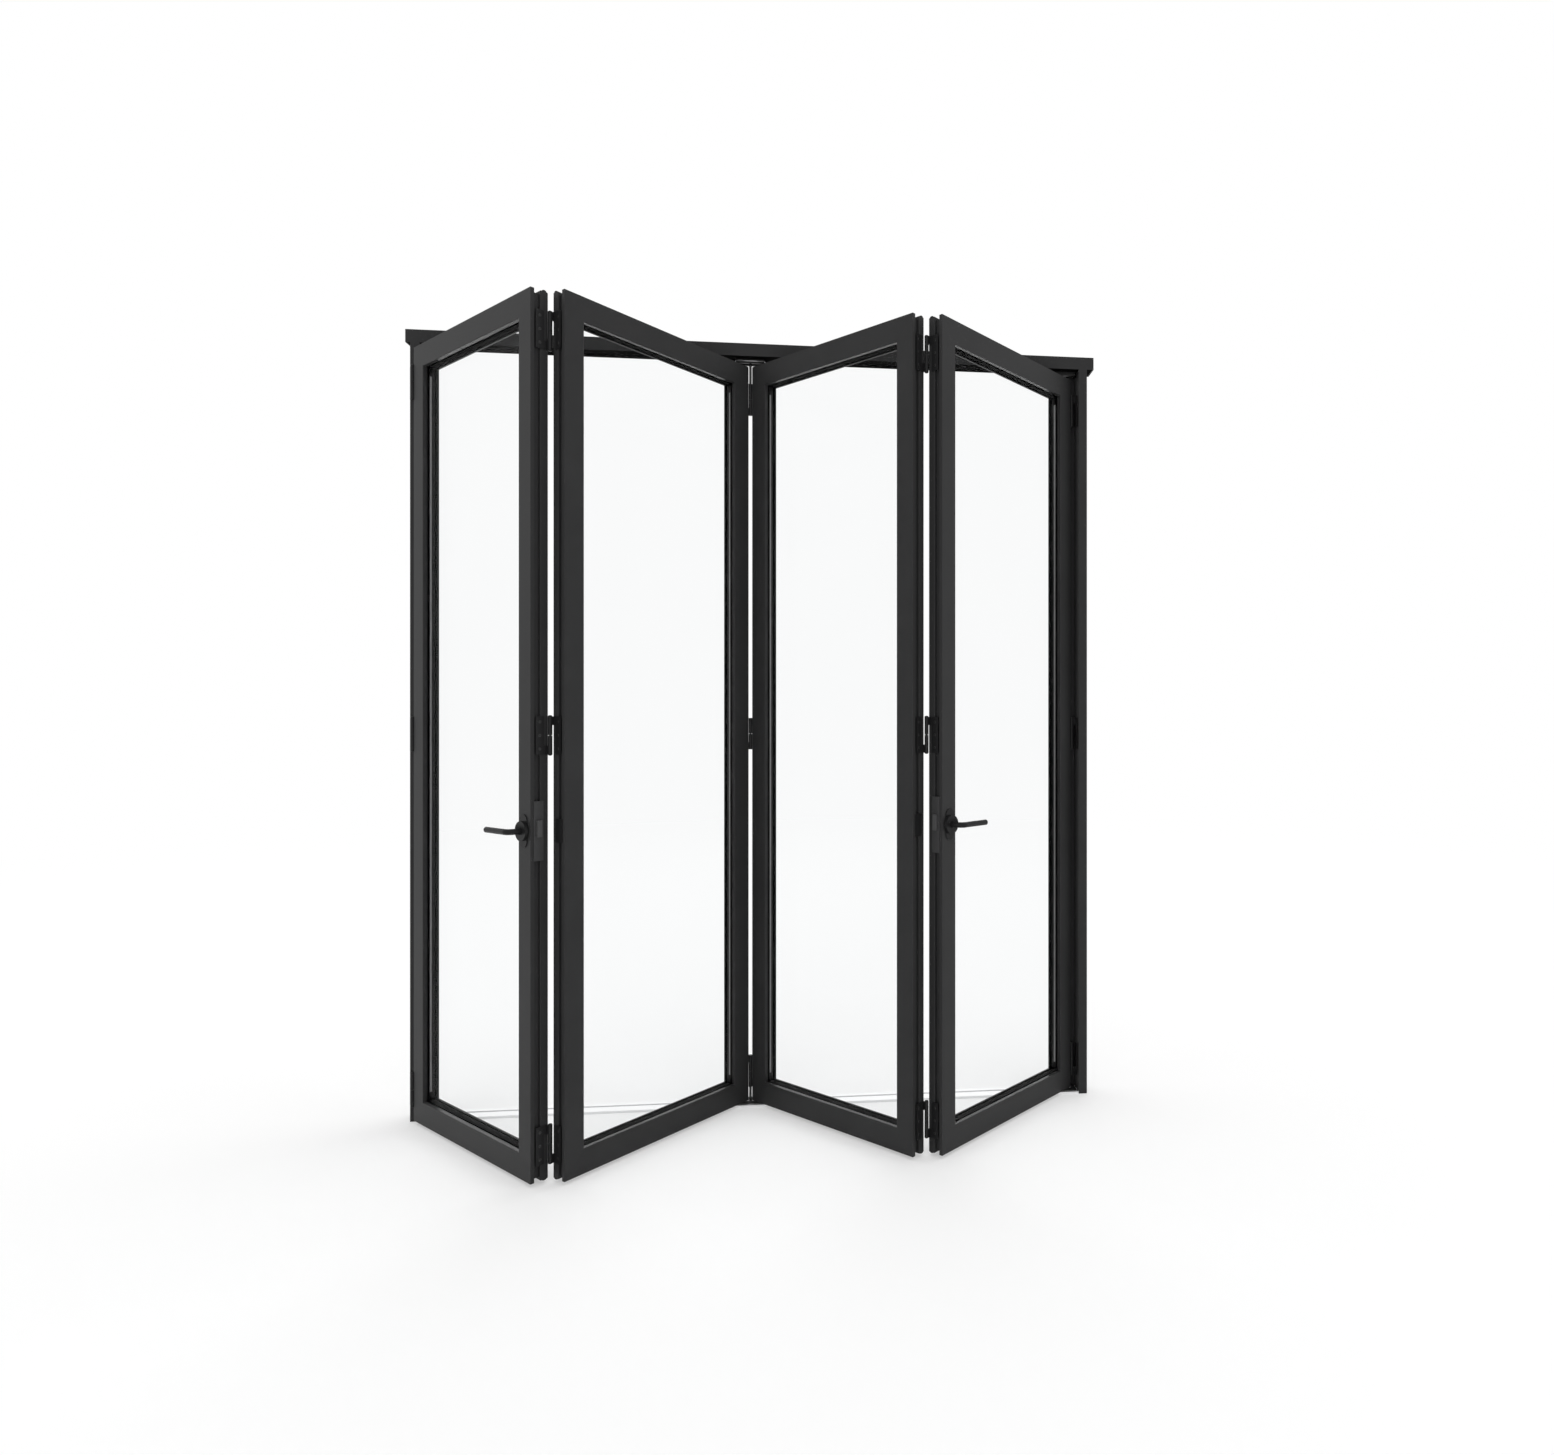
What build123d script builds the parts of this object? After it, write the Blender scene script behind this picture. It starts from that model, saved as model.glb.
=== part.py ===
"""Folding door: four glazed aluminium leaves hinged in a zigzag between two jambs,
under a head track with one roller carrier and over a low floor track."""
import os
from math import atan2, cos, degrees, hypot, radians, sin

from build123d import *

os.makedirs("parts", exist_ok=True)

# Outer frame. X runs along the opening, -Y faces the viewer, Z is up.
# Y = 0 is the centre line of both tracks and Z = 0 is the floor.
frame_width = 2018.0
jamb_width = 27.0
frame_front = -38.0
frame_back = 22.0
head_height = 38.0
head_overhang_left = 9.0
head_overhang_right = 17.0

# Stop flange along the back of each jamb, which closes the gap beside the leaf.
stop_reach = 20.0
stop_thickness = 4.0

# Head track: an extrusion with a C-shaped channel that opens downward.
channel_width = 34.0
channel_roof = 7.0
slot_width = 14.0
lip_thickness = 4.0
lip_bead = 1.6
end_cap_thickness = 4.0
end_cap_plug = 12.0
plug_clearance = 0.2

# Floor track, as deep as the frame.
floor_track_height = 7.0
floor_groove_width = 11.0
floor_groove_depth = 5.0

# One leaf.
leaf_width = 636.0
leaf_height = 2240.0
leaf_depth = 48.0
leaf_floor_gap = 10.0
leaf_head_gap = 22.0
stile_face = 57.0
rail_face = 65.0
face_bevel = 1.5
corner_round = 1.2

# Outer edge of the leaf profile, measured back from the front face.
edge_groove_start = 10.0
edge_groove_width = 16.0
edge_groove_depth = 8.0
edge_back_bevel = 2.5

# Weather seals along the top and bottom edges of a leaf, behind the groove.
seal_back = 37.0
seal_width = 12.0
top_seal_height = 4.0
bottom_seal_height = 2.5

# Glazing rebate and double-glazed unit.
rebate_depth = 12.0
front_flange = 11.0
back_flange = 5.0
gasket_thickness = 3.0
gasket_sightline = 1.0
pane_thickness = 5.0
pane_edge_clearance = 3.0
spacer_width = 8.0

# Hinges.
hinge_offset = 8.0
hinge_length = 96.0
hinge_split_gap = 1.0
barrel_radius = 5.5
pin_radius = 2.5
pin_clearance = 0.2
wing_thickness = 2.0
wing_width = 22.0
wing_inset = 13.0
jamb_wing_inset = 1.0
arm_inset = 2.5
arm_thickness = 4.5
arm_height = 22.0
top_hinge_drop = 50.0
bottom_hinge_rise = 40.0
lock_hinge_gap = 117.0

# Where the end pivots stand, and how far the middle one lies off their mean.
left_pivot_inset = 12.3
left_pivot_front = 12.0
right_pivot_gap = 12.6
middle_pivot_shift = -21.4

# Roller carrier and floor guide at the middle pivot.
stem_radius = 4.0
carrier_length = 64.0
carrier_width = 15.0
carrier_height = 9.0
wheel_radius = 9.0
wheel_width = 5.0
wheel_gap = 1.0
wheel_spacing = 40.0
axle_radius = 2.5
axle_clearance = 0.2
guide_radius = 4.8
guide_height = 4.0
guide_clearance = 0.6

# Lever handles, locks and strikes.
handle_height = 880.0
spindle_backset = 31.0
plate_width = 34.0
plate_height = 84.0
plate_thickness = 2.5
rose_radius = 25.0
rose_thickness = 8.0
neck_radius = 9.0
neck_clearance = 0.3
neck_proud = 5.0
lever_radius = 7.5
lever_standoff = 42.0
lever_length = 105.0
lever_bend = 14.0
faceplate_width = 26.0
faceplate_height = 150.0
faceplate_thickness = 2.0
faceplate_inset = 8.0
bolt_width = 13.0
bolt_height = 42.0
bolt_throw = 6.0
bolt_rise = 6.0
strike_height = 60.0

frame_left = -frame_width / 2
frame_right = frame_width / 2
opening_left = frame_left + jamb_width
opening_right = frame_right - jamb_width
leaf_top = leaf_floor_gap + leaf_height
head_bottom = leaf_top + leaf_head_gap
head_top = head_bottom + head_height
frame_middle = (frame_front + frame_back) / 2

hinge_starts = (
    leaf_floor_gap + bottom_hinge_rise,
    leaf_floor_gap + handle_height + faceplate_height / 2 + lock_hinge_gap,
    leaf_top - top_hinge_drop - hinge_length,
)


# The zigzag: end and middle pivots are given, the two front ones follow.
def front_pivot(start, end):
    """The pivot between two leaves that both reach from it to start and to end."""
    reach = hypot(leaf_width + 2 * hinge_offset, leaf_depth)
    half = (end - start) / 2
    forward = (reach**2 - half.length**2) ** 0.5
    toward_viewer = Vector(half.Y, -half.X, 0).normalized()
    return start + half + toward_viewer * forward


pivot_0 = Vector(frame_left + left_pivot_inset, frame_front - left_pivot_front, 0)
pivot_4 = Vector(opening_right - right_pivot_gap, 0, 0)
pivot_2 = Vector((pivot_0.X + pivot_4.X) / 2 + middle_pivot_shift, 0, 0)
pivot_1 = front_pivot(pivot_0, pivot_2)
pivot_3 = front_pivot(pivot_2, pivot_4)

skew = degrees(atan2(leaf_depth, leaf_width + 2 * hinge_offset))


def leaf_seat(start, end, swings_out):
    """Plane at a leaf's lower front left corner, X along the leaf and Y to its back."""
    heading = degrees(atan2(end.Y - start.Y, end.X - start.X))
    angle = radians(heading - skew if swings_out else heading + skew)
    along = Vector(cos(angle), sin(angle), 0)
    back = Vector(-sin(angle), cos(angle), 0)
    corner = start + along * hinge_offset
    if not swings_out:
        corner = corner - back * leaf_depth
    return Plane(origin=(corner.X, corner.Y, leaf_floor_gap), x_dir=along, z_dir=(0, 0, 1))


seats = (
    leaf_seat(pivot_0, pivot_1, True),
    leaf_seat(pivot_1, pivot_2, False),
    leaf_seat(pivot_2, pivot_3, True),
    leaf_seat(pivot_3, pivot_4, False),
)


def shifted(seat, x, y, z, x_dir, z_dir):
    """A plane at local x, y, z of a seat, with its X and Z along local directions."""
    origin = seat.from_local_coords(Vector(x, y, z))
    zero = seat.from_local_coords(Vector(0, 0, 0))
    across = seat.from_local_coords(Vector(*x_dir)) - zero
    normal = seat.from_local_coords(Vector(*z_dir)) - zero
    return Plane(origin=origin, x_dir=across, z_dir=normal)


def profile_points(face):
    """Leaf profile: distance in from the outer edge, distance back from the front."""
    groove_end = edge_groove_start + edge_groove_width
    rebate_floor = face - rebate_depth
    rebate_back = leaf_depth - back_flange
    return [
        (0, 0),
        (face - face_bevel, 0),
        (face, face_bevel),
        (face, front_flange),
        (rebate_floor, front_flange),
        (rebate_floor, rebate_back),
        (face, rebate_back),
        (face, leaf_depth - face_bevel),
        (face - face_bevel, leaf_depth),
        (edge_back_bevel, leaf_depth),
        (0, leaf_depth - edge_back_bevel),
        (0, groove_end + corner_round),
        (corner_round, groove_end),
        (edge_groove_depth, groove_end),
        (edge_groove_depth, edge_groove_start),
        (0, edge_groove_start),
    ]


def stile_outlines():
    """Both stiles seen from the front, with their mitres toward the rails."""
    left = [(0, 0), (stile_face, rail_face), (stile_face, leaf_height - rail_face), (0, leaf_height)]
    return left, [(leaf_width - x, z) for x, z in left]


def rail_outlines():
    """Both rails seen from the front, with their mitres toward the stiles."""
    low = [(0, 0), (leaf_width, 0), (leaf_width - stile_face, rail_face), (stile_face, rail_face)]
    return low, [(x, leaf_height - z) for x, z in low]


def export(part, name):
    part.label = name
    export_step(part, "parts/" + name + ".step")


for number, seat in enumerate(seats, start=1):
    ends = shifted(seat, 0, 0, 0, (0, 1, 0), (1, 0, 0))
    front = shifted(seat, 0, 0, 0, (1, 0, 0), (0, -1, 0))

    # Stiles: the profile run up both sides, mitred by the outline seen from the front.
    with BuildPart() as stiles:
        with BuildSketch(seat):
            Polygon(*profile_points(stile_face), align=None)
            Polygon(*[(leaf_width - p, q) for p, q in profile_points(stile_face)], align=None)
        extrude(amount=leaf_height)
        with BuildSketch(front):
            for outline in stile_outlines():
                Polygon(*outline, align=None)
        extrude(amount=-leaf_depth, mode=Mode.INTERSECT)
    export(stiles.part, f"leaf_{number}_stiles")

    # Rails: the same profile with a wider face, along the bottom and the top.
    with BuildPart() as rails:
        with BuildSketch(ends):
            Polygon(*[(q, p) for p, q in profile_points(rail_face)], align=None)
            Polygon(*[(q, leaf_height - p) for p, q in profile_points(rail_face)], align=None)
        extrude(amount=leaf_width)
        with BuildSketch(front):
            for outline in rail_outlines():
                Polygon(*outline, align=None)
        extrude(amount=-leaf_depth, mode=Mode.INTERSECT)
    export(rails.part, f"leaf_{number}_rails")

    # Double-glazed unit: two panes with a spacer between, gripped by two gaskets.
    pane_inset = pane_edge_clearance - rebate_depth
    glass_width = leaf_width - 2 * (stile_face + pane_inset)
    glass_height = leaf_height - 2 * (rail_face + pane_inset)
    front_pane = front_flange + gasket_thickness
    back_pane = leaf_depth - back_flange - gasket_thickness - pane_thickness
    unit_centre = (leaf_width / 2, leaf_height / 2)

    with BuildPart() as glass:
        for depth in (front_pane, back_pane):
            with BuildSketch(shifted(seat, unit_centre[0], depth, unit_centre[1], (1, 0, 0), (0, 1, 0))):
                Rectangle(glass_width, glass_height)
            extrude(amount=pane_thickness)
    export(glass.part, f"leaf_{number}_glass")

    with BuildPart() as spacer:
        spacer_front = front_pane + pane_thickness
        with BuildSketch(shifted(seat, unit_centre[0], spacer_front, unit_centre[1], (1, 0, 0), (0, 1, 0))):
            Rectangle(glass_width, glass_height)
            Rectangle(glass_width - 2 * spacer_width, glass_height - 2 * spacer_width, mode=Mode.SUBTRACT)
        extrude(amount=back_pane - spacer_front)
    export(spacer.part, f"leaf_{number}_spacer")

    # Glazing gaskets, and the rounded seals that close the gaps over and under the leaf.
    with BuildPart() as gaskets:
        gasket_inset = 2 * (-pane_inset - gasket_sightline)
        for depth in (front_flange, back_pane + pane_thickness):
            with BuildSketch(shifted(seat, unit_centre[0], depth, unit_centre[1], (1, 0, 0), (0, 1, 0))):
                Rectangle(glass_width, glass_height)
                Rectangle(glass_width - gasket_inset, glass_height - gasket_inset, mode=Mode.SUBTRACT)
            extrude(amount=gasket_thickness)
        for edge, outward, height in ((0, -1, bottom_seal_height), (leaf_height, 1, top_seal_height)):
            with BuildSketch(ends):
                with Locations((seal_back, edge)):
                    Ellipse(seal_width / 2, height)
                with Locations((seal_back, edge - outward * height / 2)):
                    Rectangle(seal_width, height, mode=Mode.SUBTRACT)
            extrude(amount=leaf_width)
    export(gaskets.part, f"leaf_{number}_gaskets")


# Head: front fascia and channel in one extrusion, seen from the left end.
head_length = frame_width + head_overhang_left + head_overhang_right
head_plane = Plane(origin=(frame_left - head_overhang_left, 0, 0), x_dir=(0, 1, 0), z_dir=(1, 0, 0))
channel_floor = head_bottom + lip_thickness
channel_top = head_top - channel_roof
slot_half = slot_width / 2
channel_half = channel_width / 2

with BuildPart() as head_track:
    with BuildSketch(head_plane):
        Polygon(
            (frame_front, head_bottom),
            (-slot_half, head_bottom),
            (-slot_half, channel_floor + lip_bead),
            (-slot_half - lip_bead, channel_floor + lip_bead),
            (-slot_half - lip_bead, channel_floor),
            (-channel_half, channel_floor),
            (-channel_half, channel_top),
            (channel_half, channel_top),
            (channel_half, channel_floor),
            (slot_half + lip_bead, channel_floor),
            (slot_half + lip_bead, channel_floor + lip_bead),
            (slot_half, channel_floor + lip_bead),
            (slot_half, head_bottom),
            (frame_back, head_bottom),
            (frame_back, head_top),
            (frame_front, head_top),
            align=None,
        )
    extrude(amount=head_length)
export(head_track.part, "head_track")

# End caps: a plate over each end with a plug that sits in the channel.
with BuildPart() as head_end_caps:
    for x, outward in ((frame_left - head_overhang_left, -1), (frame_right + head_overhang_right, 1)):
        with BuildSketch(Plane(origin=(x, 0, 0), x_dir=(0, 1, 0), z_dir=(1, 0, 0))):
            with Locations((frame_middle, (head_bottom + head_top) / 2)):
                Rectangle(frame_back - frame_front, head_height)
        extrude(amount=outward * end_cap_thickness)
        with BuildSketch(Plane(origin=(x, 0, 0), x_dir=(0, 1, 0), z_dir=(1, 0, 0))):
            with Locations((0, (channel_floor + lip_bead + channel_top) / 2)):
                Rectangle(
                    channel_width - 2 * plug_clearance,
                    channel_top - channel_floor - lip_bead - 2 * plug_clearance,
                )
        extrude(amount=-outward * end_cap_plug)
export(head_end_caps.part, "head_end_caps")

# Jambs stand on the floor and carry the head. Their stops rise from the floor track.
stop_centre = frame_back - corner_round - stop_thickness / 2

for name, x, inward in (("left_jamb", frame_left, 1), ("right_jamb", frame_right, -1)):
    with BuildPart() as jamb:
        with BuildSketch(Plane.XY):
            with Locations((x + inward * jamb_width / 2, frame_middle)):
                Rectangle(jamb_width, frame_back - frame_front)
        extrude(amount=head_bottom)
        fillet(jamb.edges().filter_by(Axis.Z), corner_round)
        with BuildSketch(Plane.XY.offset(floor_track_height)):
            with Locations((x + inward * (jamb_width + stop_reach) / 2, stop_centre)):
                Rectangle(jamb_width + stop_reach, stop_thickness)
        extrude(amount=head_bottom - floor_track_height)
    export(jamb.part, name)

with BuildPart() as floor_track:
    with BuildSketch(Plane(origin=(opening_left, 0, 0), x_dir=(0, 1, 0), z_dir=(1, 0, 0))):
        with Locations((frame_middle, floor_track_height / 2)):
            Rectangle(frame_back - frame_front, floor_track_height)
        with Locations((0, floor_track_height - floor_groove_depth / 2)):
            Rectangle(floor_groove_width, floor_groove_depth, mode=Mode.SUBTRACT)
    extrude(amount=opening_right - opening_left)
export(floor_track.part, "floor_track")


# Hinges. Points run out from the leaf's end and in from the face that the pivot is on.
def leaf_point(right_end, at_back, out, inward):
    x = leaf_width + out if right_end else -out
    y = leaf_depth - inward if at_back else inward
    return x, y


def box_on_leaf(right_end, at_back, out_range, in_range):
    """Four corners of a rectangle at one end of a leaf, in the leaf's own plane."""
    corners = [(out_range[0], in_range[0]), (out_range[1], in_range[0])]
    corners += [(out_range[1], in_range[1]), (out_range[0], in_range[1])]
    return [leaf_point(right_end, at_back, out, inward) for out, inward in corners]


def half_range(upper):
    """Height of one half of the barrel above the start of its hinge."""
    half = (hinge_length - hinge_split_gap) / 2
    return (hinge_length - half, half) if upper else (0, half)


def arm_start(upper):
    """Height of an arm above the start of its hinge: arms meet the barrel at its ends."""
    return hinge_length - arm_height if upper else 0


def barrel_half(plane, centre, start, upper, holds_pin):
    """One half of a barrel, with the pin or with the bore that the pin turns in."""
    rise, half = half_range(upper)
    with BuildSketch(plane.offset(start + rise)) as barrel:
        with Locations(centre):
            Circle(barrel_radius)
            if not holds_pin:
                Circle(pin_radius + pin_clearance, mode=Mode.SUBTRACT)
    extrude(barrel.sketch, amount=half)
    if holds_pin:
        with BuildSketch(plane.offset(start)) as pin:
            with Locations(centre):
                Circle(pin_radius)
        extrude(pin.sketch, amount=hinge_length)


def leaf_wings(seat, right_end, at_back, holds_pin, upper_halves):
    """Three wings on one end of a leaf, each with its half of the barrel."""
    centre = leaf_point(right_end, at_back, hinge_offset, 0)
    plate = box_on_leaf(right_end, at_back, (0, wing_thickness), (wing_inset, wing_inset + wing_width))
    strap = box_on_leaf(right_end, at_back, (0, wing_thickness), (arm_inset, wing_inset))
    arm = box_on_leaf(right_end, at_back, (0, hinge_offset), (arm_inset, arm_inset + arm_thickness))
    with BuildPart() as wings:
        for start, upper in zip(hinge_starts, upper_halves):
            local_start = start - leaf_floor_gap
            with BuildSketch(seat.offset(local_start)):
                Polygon(*plate, align=None)
            extrude(amount=hinge_length)
            with BuildSketch(seat.offset(local_start + arm_start(upper))):
                Polygon(*strap, align=None)
                Polygon(*arm, align=None)
                if not holds_pin:
                    with Locations(centre):
                        Circle(pin_radius + pin_clearance, mode=Mode.SUBTRACT)
            extrude(amount=arm_height)
            barrel_half(seat, centre, local_start, upper, holds_pin)
    return wings.part


# From the floor up, which side of each joint has the upper half of the barrel.
left_upper = (True, False, False)
right_upper = (False, True, True)

export(leaf_wings(seats[0], True, True, True, left_upper), "hinge_1_left_wings")
export(leaf_wings(seats[1], False, True, False, right_upper), "hinge_1_right_wings")
export(leaf_wings(seats[1], True, False, True, left_upper), "hinge_2_left_wings")
export(leaf_wings(seats[2], False, False, False, right_upper), "hinge_2_right_wings")
export(leaf_wings(seats[2], True, True, True, left_upper), "hinge_3_left_wings")
export(leaf_wings(seats[3], False, True, False, right_upper), "hinge_3_right_wings")
export(leaf_wings(seats[0], False, False, False, right_upper), "hinge_0_leaf_wings")
export(leaf_wings(seats[3], True, False, False, left_upper), "hinge_4_leaf_wings")


def jamb_wings(pivot, plate, arm, upper_halves):
    """Three wings on a jamb. plate and arm are rectangles seen from above."""
    with BuildPart() as wings:
        for start, upper in zip(hinge_starts, upper_halves):
            with BuildSketch(Plane.XY.offset(start)):
                Polygon(*plate, align=None)
            extrude(amount=hinge_length)
            with BuildSketch(Plane.XY.offset(start + arm_start(upper))):
                Polygon(*arm, align=None)
            extrude(amount=arm_height)
            barrel_half(Plane.XY, (pivot.X, pivot.Y), start, upper, True)
    return wings.part


def corners(x_range, y_range):
    return [
        (x_range[0], y_range[0]),
        (x_range[1], y_range[0]),
        (x_range[1], y_range[1]),
        (x_range[0], y_range[1]),
    ]


left_plate = corners(
    (frame_left + jamb_wing_inset, opening_left - jamb_wing_inset),
    (frame_front - wing_thickness, frame_front),
)
left_arm = corners(
    (pivot_0.X - barrel_radius, pivot_0.X - barrel_radius + arm_thickness),
    (pivot_0.Y, frame_front),
)
export(jamb_wings(pivot_0, left_plate, left_arm, left_upper), "hinge_0_jamb_wings")

right_plate = corners(
    (opening_right - wing_thickness, opening_right),
    (pivot_4.Y - wing_width / 2, pivot_4.Y + wing_width / 2),
)
right_arm = corners(
    (pivot_4.X, opening_right),
    (pivot_4.Y - arm_thickness / 2, pivot_4.Y + arm_thickness / 2),
)
export(jamb_wings(pivot_4, right_plate, right_arm, right_upper), "hinge_4_jamb_wings")


# Roller carrier: a bar in the head channel on four wheels, with a stem to the top hinge.
top_barrel_end = leaf_top - top_hinge_drop
axle_height = channel_floor + lip_bead + wheel_radius
wheel_centre = (carrier_width + wheel_width) / 2 + wheel_gap

with BuildPart() as top_carrier:
    with BuildSketch(Plane(origin=(pivot_2.X, pivot_2.Y, axle_height - carrier_height / 2))):
        Rectangle(carrier_length, carrier_width)
    extrude(amount=carrier_height)
    with BuildSketch(Plane(origin=(pivot_2.X, pivot_2.Y, top_barrel_end))):
        Circle(stem_radius)
    extrude(amount=axle_height - top_barrel_end)
    for side in (-1, 1):
        x = pivot_2.X + side * wheel_spacing / 2
        axle_end = wheel_centre + wheel_width / 2
        with BuildSketch(Plane(origin=(x, -axle_end, axle_height), x_dir=(1, 0, 0), z_dir=(0, 1, 0))):
            Circle(axle_radius)
        extrude(amount=2 * axle_end)
export(top_carrier.part, "top_carrier")

with BuildPart() as carrier_wheels:
    for along in (-1, 1):
        for across in (-1, 1):
            x = pivot_2.X + along * wheel_spacing / 2
            y = across * wheel_centre - wheel_width / 2
            with BuildSketch(Plane(origin=(x, y, axle_height), x_dir=(1, 0, 0), z_dir=(0, 1, 0))):
                Circle(wheel_radius)
                Circle(axle_radius + axle_clearance, mode=Mode.SUBTRACT)
            extrude(amount=wheel_width)
export(carrier_wheels.part, "carrier_wheels")

# Floor guide: a stem down from the lowest barrel to a disc in the groove of the floor track.
guide_bottom = floor_track_height - floor_groove_depth + guide_clearance

with BuildPart() as floor_guide:
    with BuildSketch(Plane(origin=(pivot_2.X, pivot_2.Y, guide_bottom))):
        Circle(guide_radius)
    extrude(amount=guide_height)
    with BuildSketch(Plane(origin=(pivot_2.X, pivot_2.Y, guide_bottom + guide_height))):
        Circle(stem_radius)
    extrude(amount=hinge_starts[0] - guide_bottom - guide_height)
export(floor_guide.part, "floor_guide")


# Handles: an oblong plate, a round rose and a bent lever on each handed leaf.
def handle(seat, right_end, name):
    x = leaf_width - spindle_backset if right_end else spindle_backset
    toward_hinge = -1 if right_end else 1
    face = shifted(seat, x, 0, handle_height, (1, 0, 0), (0, -1, 0))

    with BuildPart() as plate:
        with BuildSketch(face):
            SlotOverall(plate_height, plate_width, rotation=90)
        extrude(amount=plate_thickness)
        with BuildSketch(face.offset(plate_thickness)):
            Circle(rose_radius)
        extrude(amount=rose_thickness)
        with BuildSketch(face.offset(plate_thickness)):
            Circle(neck_radius + neck_clearance)
        extrude(amount=rose_thickness, mode=Mode.SUBTRACT)
    export(plate.part, name + "_handle_plate")

    rose_front = plate_thickness + rose_thickness
    neck_start = plate_thickness + neck_clearance
    side_plane = shifted(seat, x, 0, handle_height, (toward_hinge, 0, 0), (0, 0, toward_hinge))
    with BuildPart() as lever:
        with BuildSketch(face.offset(neck_start)):
            Circle(neck_radius)
        extrude(amount=rose_front + neck_proud - neck_start)
        with BuildLine(side_plane) as path:
            FilletPolyline(
                (0, -rose_front),
                (0, -lever_standoff),
                (lever_length, -lever_standoff),
                radius=lever_bend,
            )
        with BuildSketch(face.offset(rose_front)):
            Circle(lever_radius)
        sweep(path=path.line)
    export(lever.part, name + "_lever")


handle(seats[0], True, "left")
handle(seats[3], False, "right")


# Locks: a faceplate with a latch bolt on the handed edge, and a strike on the edge it meets.
def edge_plate(seat, right_end, height, width, thickness, start):
    """A plate on the end of a leaf, at the height of the spindle."""
    outline = box_on_leaf(right_end, False, (start, start + thickness), (faceplate_inset, faceplate_inset + width))
    with BuildSketch(seat.offset(handle_height - height / 2)) as edge:
        Polygon(*outline, align=None)
    extrude(edge.sketch, amount=height)


with BuildPart() as lock_faceplates:
    edge_plate(seats[0], True, faceplate_height, faceplate_width, faceplate_thickness, 0)
    edge_plate(seats[3], False, faceplate_height, faceplate_width, faceplate_thickness, 0)
export(lock_faceplates.part, "lock_faceplates")

with BuildPart() as latch_bolts:
    for seat, right_end in ((seats[0], True), (seats[3], False)):
        bolt = box_on_leaf(
            right_end,
            False,
            (faceplate_thickness, faceplate_thickness + bolt_throw),
            (
                faceplate_inset + (faceplate_width - bolt_width) / 2,
                faceplate_inset + (faceplate_width + bolt_width) / 2,
            ),
        )
        with BuildSketch(seat.offset(handle_height + bolt_rise - bolt_height / 2)):
            Polygon(*bolt, align=None)
        extrude(amount=bolt_height)
export(latch_bolts.part, "latch_bolts")

with BuildPart() as strikes:
    edge_plate(seats[1], False, strike_height, faceplate_width, faceplate_thickness, 0)
    edge_plate(seats[2], True, strike_height, faceplate_width, faceplate_thickness, 0)
export(strikes.part, "strikes")
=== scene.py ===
import math

import bmesh
import bpy
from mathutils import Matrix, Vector


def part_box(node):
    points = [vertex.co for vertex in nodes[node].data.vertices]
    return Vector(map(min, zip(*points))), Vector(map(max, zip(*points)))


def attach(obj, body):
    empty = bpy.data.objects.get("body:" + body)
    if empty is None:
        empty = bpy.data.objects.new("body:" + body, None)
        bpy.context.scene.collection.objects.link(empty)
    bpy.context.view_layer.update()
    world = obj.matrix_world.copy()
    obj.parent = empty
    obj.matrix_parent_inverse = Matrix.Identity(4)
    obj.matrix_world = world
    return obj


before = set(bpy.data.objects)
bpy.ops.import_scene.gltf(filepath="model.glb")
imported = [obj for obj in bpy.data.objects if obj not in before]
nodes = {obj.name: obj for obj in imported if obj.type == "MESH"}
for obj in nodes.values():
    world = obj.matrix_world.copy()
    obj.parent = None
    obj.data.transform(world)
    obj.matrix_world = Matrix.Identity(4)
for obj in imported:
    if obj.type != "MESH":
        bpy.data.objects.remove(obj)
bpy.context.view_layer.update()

# Jambs and head track: aluminium extrusions under a black powder coat, screwed into the wall
# opening. The coat is baked on, so it has a fine orange peel and a satin sheen, and faint die
# lines run along each extrusion under it. The head's downward faces are painted near-black and
# fully rough, as painted shade.
coat_black = (0.031, 0.031, 0.0315)
coat_grey = (0.041, 0.041, 0.0415)
coat_roughness = (0.34, 0.42)
coat_sheen = 0.08
coat_bump = 0.06
coat_relief = 0.0004
coat_clouds_per_metre = 7.0
coat_cloud_octaves = 4.0
peel_size = 0.0016
peel_octaves = 1.0
die_line_pitch = 0.0011
die_line_run = 0.6
die_line_octaves = 2.0
# Painted shade on the underside of the head: near-black and fully rough where it faces down.
underside_shade_black = (0.002, 0.002, 0.002)
underside_shade_roughness = 1.0
shade_from_tilt = -0.7
up_the_height = (0, math.pi / 2, 0)


def feed(tree, source, target):
    """Joins a socket to another, or sets a plain value on it."""
    if isinstance(source, bpy.types.NodeSocket):
        tree.links.new(source, target)
    else:
        target.default_value = source


def shader_group(name, inputs, outputs):
    """An empty shader node group with named sockets, and its input and output nodes."""
    group = bpy.data.node_groups.new(name, "ShaderNodeTree")
    for side, sockets in (("INPUT", inputs), ("OUTPUT", outputs)):
        for socket, kind in sockets.items():
            group.interface.new_socket(name=socket, in_out=side, socket_type=f"NodeSocket{kind}")
    return group, group.nodes.new("NodeGroupInput"), group.nodes.new("NodeGroupOutput")


def noise(tree, where, scale, octaves):
    """Soft noise over the surface, from 0 to 1."""
    texture = tree.nodes.new("ShaderNodeTexNoise")
    texture.inputs["Detail"].default_value = octaves
    feed(tree, where, texture.inputs["Vector"])
    feed(tree, scale, texture.inputs["Scale"])
    return texture.outputs["Fac"]


def stretched_noise(tree, where, line_scale, octaves):
    """Noise drawn out into lines, by its own scale along each axis."""
    stretch = tree.nodes.new("ShaderNodeVectorMath")
    stretch.operation = "MULTIPLY"
    feed(tree, where, stretch.inputs[0])
    feed(tree, line_scale, stretch.inputs[1])
    return noise(tree, stretch.outputs["Vector"], 1.0, octaves)


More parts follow.
